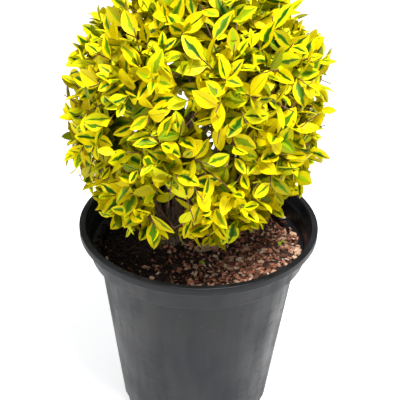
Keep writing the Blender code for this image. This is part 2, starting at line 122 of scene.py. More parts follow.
class Sheet:
    """A material's node tree, with one method that adds any node."""

    def __init__(self, name: str) -> None:
        """Start a material that holds a Principled shader.

        Args:
            name: The material's name.
        """
        self.material = bpy.data.materials.new(name)
        self.material.use_nodes = True
        self.tree = self.material.node_tree
        self.shader = self.tree.nodes["Principled BSDF"]

    def node(self, kind: str, settings: dict, inputs: dict, output: int | str = 0) -> Signal:
        """Add a node.

        Args:
            kind: The node's type.
            settings: Its properties, set first.
            inputs: Values or signals by socket name or number.
            output: The socket that is returned.

        Returns:
            The output as a signal.
        """
        made = self.tree.nodes.new(kind)
        for key, value in settings.items():
            setattr(made, key, value)
        for key, value in inputs.items():
            self.feed(made.inputs[key], value)
        return Signal(self, made.outputs[output])

    def feed(self, socket: bpy.types.NodeSocket, value: "Signal | float | tuple") -> None:
        """Link a signal to a socket, or set its value.

        Args:
            socket: The socket.
            value: A signal, a number or a tuple.
        """
        if isinstance(value, Signal):
            self.tree.links.new(value.socket, socket)
        else:
            socket.default_value = value

    def place(self, stretch: tuple[float, float, float] = (1.0, 1.0, 1.0)) -> Signal:
        """The object's own coordinates, stretched."""
        own = self.node("ShaderNodeTexCoord", {}, {}, "Object")
        return self.node("ShaderNodeMapping", {}, {"Vector": own, "Scale": stretch})

    def grain(self, place: Signal, scale: float, detail: float) -> Signal:
        """Noise between 0 and 1 at a scale."""
        return self.node("ShaderNodeTexNoise", {}, {"Vector": place, "Scale": scale, "Detail": detail})

    def blend(self, share: Signal, low: "tuple | Signal", high: "tuple | Signal") -> Signal:
        """A colour between two colours."""
        inputs = {"Factor": share, 6: low, 7: high}
        return self.node("ShaderNodeMix", {"data_type": "RGBA"}, inputs, 2)

    def bump(self, height: Signal, strength: float, distance: float) -> None:
        """Feed the shader's Normal from a height."""
        inputs = {"Height": height, "Strength": strength, "Distance": distance}
        self.feed(self.shader.inputs["Normal"], self.node("ShaderNodeBump", {}, inputs))

    def dress(self, **values: "Signal | float | tuple") -> Look:
        """Set the shader's sockets by name, with _ for a space.

        Args:
            values: Values or signals by socket name.

        Returns:
            The material.
        """
        for key, value in values.items():
            self.feed(self.shader.inputs[key.replace("_", " ")], value)
        return self.material


def linear(code: str) -> tuple[float, float, float, float]:
    """The linear colour of a six-figure colour code."""
    parts = [int(code[at:at + 2], 16) / 255 for at in (0, 2, 4)]
    return (*(c / 12.92 if c <= 0.04045 else ((c + 0.055) / 1.055) ** 2.4 for c in parts), 1.0)


@dataclass(frozen=True)
class PotPlastic:
    """Scuffed black moulded plastic, dusty and streaked."""

    dark: str = "0a0b0e"
    pale: str = "1a1c22"
    dust: str = "504d48"
    cloud_scale: float = 14.0
    streak_scale: float = 60.0
    speck_scale: float = 420.0
    scuff_scale: float = 130.0
    roughness: float = 0.36
    relief: float = 0.0006
    specular: float = 0.25

    def make(self) -> Look:
        """Mix clouds, streaks, specks and scuffs.

        Returns:
            The material.
        """
        sheet = Sheet("pot_plastic")
        place = sheet.place()
        cloud = sheet.grain(place, self.cloud_scale, 6.0)
        streak = sheet.grain(sheet.place((1.0, 1.0, 0.12)), self.streak_scale, 5.0)
        speck = sheet.grain(place, self.speck_scale, 2.0).ramp(0.70, 0.76)
        scuff = sheet.grain(sheet.place((0.5, 0.5, 1.6)), self.scuff_scale, 8.0).ramp(0.56, 0.74)
        wear = (cloud * 0.55 + streak * 0.45).ramp(0.36, 0.66)
        base = sheet.blend(wear, linear(self.dark), linear(self.pale))
        base = sheet.blend((speck * 0.5 + scuff * 0.28).ramp(0.0, 1.0), base, linear(self.dust))
        sheet.bump(scuff * 0.4 + cloud * 0.6 + speck * 0.3, 0.25, self.relief)
        gloss = self.roughness + 0.26 * wear + 0.15 * scuff
        return sheet.dress(Base_Color=base, Roughness=gloss, Specular_IOR_Level=self.specular)


@dataclass(frozen=True)
class Compost:
    """Dark damp compost, browner where it dries out."""

    damp: str = "1c1310"
    lighter: str = "4a3128"
    crumb_scale: float = 260.0
    patch_scale: float = 30.0
    relief: float = 0.002
    roughness: float = 0.95

    def make(self) -> Look:
        """Mix crumbs and patches.

        Returns:
            The material.
        """
        sheet = Sheet("compost")
        place = sheet.place()
        crumb = sheet.grain(place, self.crumb_scale, 8.0)
        patch = sheet.grain(place, self.patch_scale, 3.0)
        dryness = (crumb * 0.6 + patch * 0.5).ramp(0.40, 0.75)
        base = sheet.blend(dryness, linear(self.damp), linear(self.lighter))
        sheet.bump(crumb, 0.8, self.relief)
        return sheet.dress(Base_Color=base, Roughness=self.roughness)


@dataclass(frozen=True)
class Bark:
    """Thin grey-brown bark with pale lenticels."""

    ridge: str = "8a7560"
    furrow: str = "4a3a2c"
    lenticel: str = "b3a189"
    ridge_scale: float = 520.0
    dot_scale: float = 700.0
    relief: float = 0.0006
    roughness: float = 0.8

    def make(self) -> Look:
        """Mix long ridges and dots.

        Returns:
            The material.
        """
        sheet = Sheet("stem_bark")
        long = sheet.grain(sheet.place((1.0, 1.0, 0.22)), self.ridge_scale, 6.0)
        dots = sheet.grain(sheet.place(), self.dot_scale, 2.0).ramp(0.62, 0.72)
        base = sheet.blend(long.ramp(0.34, 0.66), linear(self.furrow), linear(self.ridge))
        base = sheet.blend(dots * 0.5, base, linear(self.lenticel))
        sheet.bump(long + dots * 0.5, 0.5, self.relief)
        return sheet.dress(Base_Color=base, Roughness=self.roughness)


@dataclass(frozen=True)
class Plain:
    """A finish of one colour whose grain is only in gloss and relief."""

    name: str
    code: str
    roughness: float
    scale: float = 300.0
    relief: float = 0.0003
    specular: float = 0.3
    gloss_swing: float = 0.16

    def make(self) -> Look:
        """Lay a fine grain over the gloss and the relief.

        Returns:
            The material.
        """
        sheet = Sheet(self.name)
        vein = sheet.grain(sheet.place(), self.scale, 3.0)
        sheet.bump(vein, 0.3, self.relief)
        gloss = self.roughness - self.gloss_swing / 2 + self.gloss_swing * vein
        return sheet.dress(Base_Color=linear(self.code), Roughness=gloss, Specular_IOR_Level=self.specular)


class Tint(Enum):
    """Plain colours of the leaves, dealt out by spray."""

    GOLD = "e4d006"
    LEMON = "cecc06"
    # AMBER and OLIVE are darker copies of the gold margin: painted shade on shaded leaves, a plain tone on
    # a few lit ones.
    AMBER = "aca004"
    OLIVE = "747c04"
    LIME = "869e06"
    GREEN = "4c7606"
    DEEP = "264e08"
    GREY = "6a8838"


class Chip(Enum):
    """Plain colours of the bark chips; the darkest is mostly painted shade."""

    # Near-black chips: painted shade where they crowd the left, plain dark chips where a few lie elsewhere.
    BLACK = "221815"
    BROWN = "6c4636"
    RED = "ac7058"
    TAN = "cca488"
    PALE = "ead2ba"


def tube(shape: Shape, path: Path, radii: list[float], sides: int, lumps: float = 0.0) -> None:
    """Add a closed tube along a path.

    Args:
        shape: The mesh it is added to.
        path: Its middle line.
        radii: Its radius at each point.
        sides: The number of sides.
        lumps: The share by which its radius swells and shrinks.
    """
    lump_reach = 0.004
    lump_scale = 210
    rows = []
    side = (path[1] - path[0]).normalized().orthogonal().normalized()
    for index, point in enumerate(path):
        along = (path[min(index + 1, len(path) - 1)] - path[max(index - 1, 0)]).normalized()
        side = (side - along * side.dot(along)).normalized()
        other = along.cross(side)
        row = []
        for number in range(sides):
            angle = number * math.tau / sides
            spoke = side * math.cos(angle) + other * math.sin(angle)
            swell = 1 + lumps * noise.noise((point + spoke * lump_reach) * lump_scale)
            row.append(shape.verts.new(point + spoke * (radii[index] * swell)))
        rows.append(row)
    for face in lofted(shape, rows):
        face.smooth = True


def lofted(shape: Shape, rows: list[list[bmesh.types.BMVert]]) -> list[bmesh.types.BMFace]:
    """Close a solid over rows of corners.

    Args:
        shape: The mesh that holds them.
        rows: The rows, each with as many corners.

    Returns:
        The first end, the last end and the sides.
    """
    faces = [shape.faces.new(list(reversed(rows[0]))), shape.faces.new(rows[-1])]
    for lower, upper in zip(rows, rows[1:]):
        for number in range(len(lower)):
            after = (number + 1) % len(lower)
            faces.append(shape.faces.new((lower[number], lower[after], upper[after], upper[number])))
    return faces


def bent(start: Vector, pull: Vector, end: Vector, count: int) -> Path:
    """Lay points along a smooth bend.

    Args:
        start: Its first point.
        pull: The point it bends towards.
        end: Its last point.
        count: The number of steps.

    Returns:
        The points, one more than the steps.
    """
    return [
        start * (1 - share) ** 2 + pull * (2 * share * (1 - share)) + end * share**2
        for share in (step / count for step in range(count + 1))
    ]


def tapered(radii: tuple[float, float], count: int) -> list[float]:
    """Radii that taper evenly from base to tip in so many steps."""
    base, tip = radii
    return [base + (tip - base) * step / count for step in range(count + 1)]


def walk(path: Path, share: float) -> tuple[Vector, Vector]:
    """Go along a path.

    Args:
        path: The path.
        share: The share of its length in points.

    Returns:
        The point there and the heading there.
    """
    place = share * (len(path) - 1)
    index = min(int(place), len(path) - 2)
    heading = (path[index + 1] - path[index]).normalized()
    return path[index].lerp(path[index + 1], place - index), heading


def meshed(name: str, shape: Shape) -> bpy.types.Mesh:
    """Turn a shape into a mesh and free it.

    Args:
        name: The mesh's name.
        shape: The shape.

    Returns:
        The mesh.
    """
    mesh = bpy.data.meshes.new(name)
    shape.to_mesh(mesh)
    shape.free()
    return mesh


def placed(name: str, data: bpy.types.ID) -> bpy.types.Object:
    """Link a new object to the scene.

    Args:
        name: The object's name.
        data: The mesh, lamp or camera that it holds.

    Returns:
        The object.
    """
    made = bpy.data.objects.new(name, data)
    bpy.context.scene.collection.objects.link(made)
    return made


def add_piece(name: str, shape: Shape, looks: list[Look], nodes: list[str]) -> bpy.types.Object:
    """Link a piece and the nodes it replaces.

    Args:
        name: The piece's name.
        shape: Its mesh, which is freed.
        looks: Its materials in slot order.
        nodes: The nodes it replaces.

    Returns:
        The piece.
    """
    mesh = meshed(name, shape)
    for look in looks:
        mesh.materials.append(look)
    piece = placed(name, mesh)
    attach(piece, BODY)
    if nodes:
        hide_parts(*nodes)
    LOG.info("%s: %d faces", name, len(mesh.polygons))
    return piece


@dataclass
class Pot:
    """The turned nursery pot with its lip, band, ledge, rounded foot and drain slots."""

    height: float = POT_HEIGHT
    rim_radius: float = RIM_RADIUS
    lip_height: float = 0.0094
    lip_width: float = LIP_WIDTH
    lip_round: float = 0.0016
    lip_inner_round: float = 0.0014
    lip_crease: float = 0.0010
    band_top: float = 0.1330
    band_foot: float = 0.1285
    band_depth: float = 0.0368
    ledge_rise: float = 0.0011
    crease: float = 0.0012
    body_top: float = 0.1187
    body_foot: float = 0.0953
    foot_inset: float = 0.001
    foot_round: float = 0.0085
    wall: float = 0.0021
    floor: float = 0.0026
    inner_crease: float = 0.0015
    floor_round: float = 0.006
    step_width: float = 0.0008
    step_reach: float = 0.0026
    step_drop: float = 0.0030
    slots: int = 8
    slot_width: float = 0.016
    slot_height: float = 0.0125
    slot_inner: float = 0.083
    slot_past: float = 0.01
    segments: int = 144
    weld: float = 0.00002
    sharp: float = math.radians(40)

    def profile(self) -> list[tuple[float, float, float]]:
        """List the section's corners.

        Returns:
            Radius, height and rounding of each, from underside to floor.
        """
        lip_foot = self.height - self.lip_height
        band = self.height - self.band_depth
        inside = self.band_top - self.wall
        return [
            (0.0, 0.0, 0.0),
            (self.body_foot - self.foot_inset, 0.0, self.foot_round),
            (self.body_top, band, self.crease),
            (self.band_foot, band + self.ledge_rise, self.crease),
            (self.band_top, lip_foot, self.lip_crease),
            (self.rim_radius, lip_foot, self.crease),
            (self.rim_radius, self.height, self.lip_round),
            (self.rim_radius - self.lip_width, self.height, self.lip_inner_round),
            (inside - self.step_width, lip_foot - self.wall, self.step_width),
            (inside - self.step_reach, lip_foot - self.wall - self.step_drop, self.step_width),
            (self.band_foot - self.wall, band + self.ledge_rise + self.wall, self.inner_crease),
            (self.body_top - self.wall, band + self.wall, self.inner_crease),
            (self.body_foot - self.wall, self.floor, self.floor_round),
            (0.0, self.floor, 0.0),
        ]

    def outline(self) -> list[tuple[float, float]]:
        """Round the section's corners.

        Returns:
            Radius and height of each point.
        """
        most = 0.45
        corners = [(Vector((r, z)), rounding) for r, z, rounding in self.profile()]
        points = [corners[0][0]]
        for (before, _), (corner, rounding), (after, _) in zip(corners, corners[1:], corners[2:]):
            back = (before - corner).normalized() * min(rounding, (before - corner).length * most)
            ahead = (after - corner).normalized() * min(rounding, (after - corner).length * most)
            points.extend(bent(corner + back, corner, corner + ahead, 4))
        points.append(corners[-1][0])
        return [(point.x, point.y) for point in points]

    def build(self) -> None:
        """Turn the section, dress it and cut the drain slots."""
        shape = bmesh.new()
        verts = [shape.verts.new((radius, 0.0, height)) for radius, height in self.outline()]
        edges = [shape.edges.new(pair) for pair in zip(verts, verts[1:])]
        bmesh.ops.spin(shape, geom=verts + edges, cent=(0, 0, 0), axis=(0, 0, 1), angle=math.tau,
                       steps=self.segments, use_duplicate=False)
        bmesh.ops.remove_doubles(shape, verts=shape.verts, dist=self.weld)
        bmesh.ops.recalc_face_normals(shape, faces=shape.faces)
        pot = add_piece("pot_shell", shape, [PotPlastic().make()], ["pot"])
        self.cut_slots(pot)
        pot.data.shade_smooth()
        pot.data.set_sharp_from_angle(angle=self.sharp)

    def slot_blocks(self) -> Shape:
        """Make the blocks that cut the drain slots.

        Returns:
            Their mesh.
        """
        reach = self.body_foot + self.slot_past
        shape = bmesh.new()
        for index in range(self.slots):
            made = bmesh.ops.create_cube(shape, size=1.0)["verts"]
            size = (reach - self.slot_inner, self.slot_width, self.slot_height * 2)
            bmesh.ops.scale(shape, vec=size, verts=made)
            bmesh.ops.translate(shape, vec=((reach + self.slot_inner) / 2, 0, 0), verts=made)
            turn = Matrix.Rotation((index + 0.5) * math.tau / self.slots, 4, "Z")
            bmesh.ops.transform(shape, matrix=turn, verts=made)
        return shape

    def cut_slots(self, pot: bpy.types.Object) -> None:
        """Cut the drain slots through the corner of wall and floor.

        Args:
            pot: The turned pot, whose mesh is changed.
        """
        cutter = placed("slot_cutter", meshed("slot_cutter", self.slot_blocks()))
        cut = pot.modifiers.new("slots", "BOOLEAN")
        cut.operation = "DIFFERENCE"
        cut.solver = "EXACT"
        cut.object = cutter
        graph = bpy.context.evaluated_depsgraph_get()
        result = bpy.data.meshes.new_from_object(pot.evaluated_get(graph))
        pot.modifiers.remove(cut)
        pot.data = result
        bpy.data.objects.remove(cutter, do_unlink=True)


@dataclass(frozen=True)
class Scrap:
    """One leaf that lies on the compost."""

    x: float
    y: float
    heading: float
    length: float
    slot: int
    rise: float


@dataclass
class Ground:
    """The compost's rough surface, with bark chips, a dry leaf and a seedling."""

    level: float = SOIL_LEVEL
    radius: float = 0.1160
    tilt: float = 0.028
    swell: float = 0.00105
    calm: float = 0.024
    crumb_scale: float = 190.0
    crumb_height: float = 0.0011
    foot_share: float = 0.80
    foot_height: float = 0.004
    rings: int = 70
    segments: int = 150
    seed: int = 11
    chips: int = 3600
    chip_spread: float = 1.045
    chip_clear: float = 0.015
    chip_sizes: tuple[float, float] = (0.0018, 0.0052)
    chip_shares: tuple[int, int, int, int] = (4, 5, 3, 1)
    big_chip: float = 1.35
    big_chip_share: float = 0.12
    chip_sides: int = 5
    chip_lift: float = 0.0022
    ledge_rise: float = 0.0075
    scrap_lift: float = 0.003
    scraps: tuple[Scrap, ...] = (
        Scrap(0.012, -0.006, 0.3, 0.046, 0, 0.25),
        Scrap(0.010, 0.010, 1.9, 0.026, 1, 0.175),
        Scrap(0.004, -0.036, 2.6, 0.012, 2, 0.075),
        Scrap(0.099, 0.005, 1.2, 0.010, 2, 0.15),
        Scrap(0.103, 0.008, 2.4, 0.009, 2, 0.175),
    )

    def height(self, x: float, y: float) -> float:
        """Work out the compost's height, level at the stool and rough elsewhere.

        Args:
            x: The place's x.
            y: The place's y.

        Returns:
            The height.
        """
        lumps = math.sin(x * 61 + 1.0) * math.cos(y * 53) + 0.6 * math.sin(x * 97 - y * 83)
        open_ground = self.level + self.tilt * (x - y) * 0.7 + self.swell * lumps
        away = math.hypot(x - STOOL.x, y - STOOL.y)
        share = min(max((away - self.calm) / self.calm, 0.0), 1.0)
        share = share * share * (3 - 2 * share)
        crumbs = noise.fractal(Vector((x, y, 0.3)) * self.crumb_scale, 1.0, 2.0, 4) * self.crumb_height
        return self.level + (open_ground - self.level) * share + crumbs

    def build(self) -> None:
        """Make the compost and what lies on it."""
        shape = bmesh.new()
        rows = []
        for ring in range(1, self.rings + 1):
            radius = self.radius * ring / self.rings
            row = []
            for segment in range(self.segments):
                angle = segment * math.tau / self.segments
                x, y = radius * math.cos(angle), radius * math.sin(angle)
                row.append(shape.verts.new((x, y, self.height(x, y))))
            rows.append(row)
        edge = [vert.co * self.foot_share for vert in rows[-1]]
        rows.append([shape.verts.new((spot.x, spot.y, self.foot_height)) for spot in edge])
        middle = shape.verts.new((0, 0, self.height(0, 0)))
        for segment in range(self.segments):
            after = (segment + 1) % self.segments
            shape.faces.new((middle, rows[0][segment], rows[0][after]))
            for inner, outer in zip(rows, rows[1:]):
                shape.faces.new((inner[segment], outer[segment], outer[after], inner[after]))
        shape.faces.new(list(reversed(rows[-1])))
        for face in shape.faces:
            face.smooth = True
        add_piece("compost_bed", shape, [Compost().make()], ["compost"])
        self.scatter()
        self.litter()

    def scatter(self) -> None:
        """Strew bark chips: dark on the left as painted shade, redder and paler to the front right."""
        rng = random.Random(self.seed)
        shape = bmesh.new()
        for _ in range(self.chips):
            radius = self.radius * self.chip_spread * math.sqrt(rng.random())
            angle = rng.uniform(0, math.tau)
            x, y = radius * math.cos(angle), radius * math.sin(angle)
            if math.hypot(x - STOOL.x, y - STOOL.y) < self.chip_clear:
                continue
            # Painted shade: the share of paler, redder chips rises to the front right, so dark chips crowd
            # the left, where shade falls.
            lighter = min(max(0.5 + (x - 0.3 * y) * 9, 0.05), 0.97)
            slot = 0 if rng.random() > lighter else rng.choices((1, 2, 3, 4), self.chip_shares)[0]
            size = rng.uniform(*self.chip_sizes)
            size *= self.big_chip if rng.random() < self.big_chip_share else 1.0
            flat = Vector((size, size * rng.uniform(0.25, 0.7), size * rng.uniform(0.12, 0.3)))
            spin = Matrix.Rotation(rng.uniform(0, math.tau), 4, "Z")
            roll = Matrix.Rotation(rng.gauss(0, 0.45), 4, "X")
            pitch = Matrix.Rotation(rng.gauss(0, 0.35), 4, "Y")
            ground = self.height(x, y) if radius < self.radius else self.level + self.ledge_rise
            place = Vector((x, y, ground + rng.uniform(0.0, self.chip_lift)))
            self.chip(shape, place, spin @ roll @ pitch, flat, slot, rng)
        looks = [Plain(f"chip_{kind.name.lower()}", kind.value, 0.85, 500.0).make() for kind in Chip]
        add_piece("bark_chips", shape, looks, [])

    def chip(self, shape: Shape, place: Vector, turn: Matrix, size: Vector, slot: int,
             rng: random.Random) -> None:
        """Add one chip: an uneven five-sided splinter.

        Args:
            shape: The mesh it is added to.
            place: Its middle.
            turn: Its turn.
            size: Half its length, width and thickness.
            slot: Its material slot.
            rng: The chips' random numbers.
        """
        rows = []
        for level in (-1, 1):
            row = []
            for number in range(self.chip_sides):
                angle = number * math.tau / self.chip_sides
                reach = rng.uniform(0.6, 1.0)
                spot = Vector((size.x * reach * math.cos(angle), size.y * reach * math.sin(angle),
                               size.z * level * rng.uniform(0.5, 1.0)))
                row.append(shape.verts.new(place + turn @ spot))
            rows.append(row)
        for face in lofted(shape, rows):
            face.material_index = slot

    def litter(self) -> None:
        """Lay a dry leaf, a reddish dead leaf and a seedling on the compost."""
        shape = bmesh.new()
        for scrap in self.scraps:
            place = Vector((scrap.x, scrap.y, self.height(scrap.x, scrap.y) + self.scrap_lift))
            along = Vector((math.cos(scrap.heading), math.sin(scrap.heading), scrap.rise)).normalized()
            blade = Blade(scrap.length, scrap.length * 0.42, 0.3, 0.35, (0.0, 0.0))
            slots = (scrap.slot, scrap.slot, scrap.slot)
            blade.add(shape, place - along * scrap.length * 0.5, along, UP, slots)
        looks = [
            Plain("dry_leaf", "b9a184", 0.8).make(),
            Plain("dead_leaf", "8d5a49", 0.7).make(),
            Plain("seedling", "9bb81e", 0.5).make(),
        ]
        add_piece("litter", shape, looks, [])


@dataclass
class Blade:
    """One leaf: a folded, arched oval with a green flame along its midrib."""

    length: float
    width: float
    fold: float
    arch: float
    flame: tuple[float, float]
    twist: float = 0.0
    rows: int = 9
    stalk: float = 0.07
    stalk_width: float = 0.035
    belly: float = 0.86
    fullness: float = 0.74
    cup: float = 1.3
    flame_least: float = 0.03
    flame_most: float = 0.92

    def half_width(self, share: float) -> float:
        """Work out half the blade's width.

        Args:
            share: The share of its length.

        Returns:
            Half the width there.
        """
        if share < self.stalk:
            return self.stalk_width * self.width
        along = (share - self.stalk) / (1 - self.stalk)
        oval = math.sin(math.pi * along**self.belly) ** self.fullness
        return self.width * 0.5 * max(oval, 0.03 if along < 1 else 0.0)

    def add(self, shape: Shape, root: Vector, along: Vector, face: Vector, slots: tuple[int, int, int],
            wave: float = 0.0) -> None:
        """Add the leaf's faces.

        Args:
            shape: The mesh they are added to.
            root: Where the stalk leaves the twig.
            along: The midrib's heading.
            face: The side that the upper face turns to.
            slots: Slots of margin, flame edge and flame heart.
            wave: A phase that makes each flame its own.
        """
        across = along.cross(face).normalized()
        upper = across.cross(along).normalized()
        grid = []
        for row in range(self.rows + 1):
            share = row / self.rows
            half = self.half_width(share)
            sag = upper * (self.arch * self.length * share**2 * 0.5)
            centre = root + along * (self.length * share) - sag
            roll = self.twist * share
            wide = across * math.cos(roll) + upper * math.sin(roll)
            rise = upper * math.cos(roll) - across * math.sin(roll)
            line = []
            for place in self.columns(share, wave):
                lift = self.fold * half * (abs(place) ** self.cup)
                line.append(shape.verts.new(centre + wide * (half * place) + rise * lift))
            grid.append(line)
        margin, edge, heart = slots
        colours = (margin, margin, edge, heart, heart, edge, margin, margin)
        for low, high in zip(grid, grid[1:]):
            for number, colour in enumerate(colours):
                made = shape.faces.new((low[number], low[number + 1], high[number + 1], high[number]))
                made.material_index = colour
                made.smooth = True

    def columns(self, share: float, wave: float) -> tuple[float, ...]:
        """Place the columns that part margin, flame edge and flame heart.

        Args:
            share: The share of the leaf's length.
            wave: The flame's phase.

        Returns:
            The places across the leaf from -1 to 1.
        """
        left = self.flame_width(share, self.flame[0], wave)
        right = self.flame_width(share, self.flame[1], wave + 2.1)
        return (-1.0, -(1 + left) / 2, -left, -left * 0.5, 0.0, right * 0.5, right, (1 + right) / 2, 1.0)

    def flame_width(self, share: float, strength: float, wave: float) -> float:
        """Work out how wide the green flame is on one side.

        Args:
            share: The share of the leaf's length.
            strength: The flame's strength.
            wave: The flame's phase.

        Returns:
            The share of the half width that it takes.
        """
        ragged = 0.75 + 0.25 * math.sin(share * 11 + wave) + 0.16 * math.sin(share * 23 + wave * 3)
        swell = math.sin(math.pi * min(share * 1.05, 1.0)) ** 0.7
        return min(max(strength * swell * ragged, self.flame_least), self.flame_most)


@dataclass
class Stool:
    """The short flared stump that the stems rise from."""

    radius: float = 0.0112
    top_radius: float = 0.0094
    top_round: float = 0.0016
    flare: float = 0.0052
    height: float = STOOL_HEIGHT
    roots: int = 5
    sides: int = 60
    rings: int = 14
    flare_rings: int = 8
    grain: float = 0.05
    grain_scale: float = 5.0

    def build(self, look: Look) -> None:
        """Make the stump with its root lobes and bark relief.

        Args:
            look: The bark.
        """
        shape = bmesh.new()
        rows = []
        for ring in range(self.rings + 1):
            share = ring / self.rings
            flare = max(0.0, 1 - ring / self.flare_rings) ** 2.2
            plain = self.radius + (self.top_radius - self.radius) * share
            plain -= self.top_round if share == 1 else 0
            row = []
            for segment in range(self.sides):
                angle = segment * math.tau / self.sides
                lobe = 0.55 + 0.45 * math.cos(self.roots * angle)
                spot = Vector((math.cos(angle), math.sin(angle), share))
                radius = plain + self.flare * flare * lobe
                radius *= 1 - 0.03 - self.grain * abs(noise.noise(spot * self.grain_scale))
                corner = Vector((radius * spot.x, radius * spot.y, self.height * share))
                row.append(shape.verts.new(STOOL + corner))
            rows.append(row)
        for face in lofted(shape, rows)[2:]:
            face.smooth = True
        add_piece("stool_bark", shape, [look], ["stool"])


@dataclass
class Limb:
    """One tapering stem or bough along a bent path."""

    name: str
    start: Vector
    pull: Vector
    end: Vector
    radii: tuple[float, float]
    rings: int
    sides: int
    steps: int = 40
    fine_sides: int = 14
    taper: float = 0.9
    knot: float = 0.10
    knot_spacing: int = 8
    lumps: float = 0.10
    inset: float = 0.95
    path: Path = field(default_factory=list)

    def __post_init__(self) -> None:
        """Work out the same path as the source's."""
        self.path = bent(self.start, self.pull, self.end, self.rings)

    def heading(self) -> Vector:
        """The direction in which the limb's tip points."""
        return (self.path[-1] - self.path[-2]).normalized()

    def radius(self, share: float) -> float:
        """The limb's radius at a share of its length."""
        base, tip = self.radii
        return base + (tip - base) * share**self.taper

    def tree(self, gap: float) -> BVHTree:
        """Make a search tree over the source's faceted surface.

        Args:
            gap: How far the surface is grown.

        Returns:
            The search tree.
        """
        shape = bmesh.new()
        radii = [self.radius(step / self.rings) + gap for step in range(self.rings + 1)]
        tube(shape, self.path, radii, self.sides)
        tree = BVHTree.FromBMesh(shape)
        shape.free()
        return tree

    def build(self, look: Look) -> None:
        """Make the limb's smooth mesh with swellings at its nodes.

        Args:
            look: The bark.
        """
        shape = bmesh.new()
        radii = []
        for step in range(self.steps + 1):
            knot = 1 + self.knot * max(0.0, math.cos(step * math.tau / self.knot_spacing)) ** 6
            radii.append(self.radius(step / self.steps) * knot * self.inset)
        path = bent(self.start, self.pull, self.end, self.steps)
        tube(shape, path, radii, self.fine_sides, self.lumps)
        add_piece(f"{self.name}_bark", shape, [look], [self.name])


@dataclass(frozen=True)
class Ring:
    """One ring of masses: its rise and first azimuth in degrees, count, reach and door."""

    name: str
    rise: float
    first: float
    count: int
    reach: float
    door: float


@dataclass
class Mass:
    """One mass of foliage: its heading, reach and cell of the crown."""

    ring: str
    number: int
    heading: Vector
    reach: float
    door: Vector
    middle: Vector

    @property
    def node(self) -> str:
        """The node it replaces."""
        return f"foliage_{self.ring}_{self.number}"


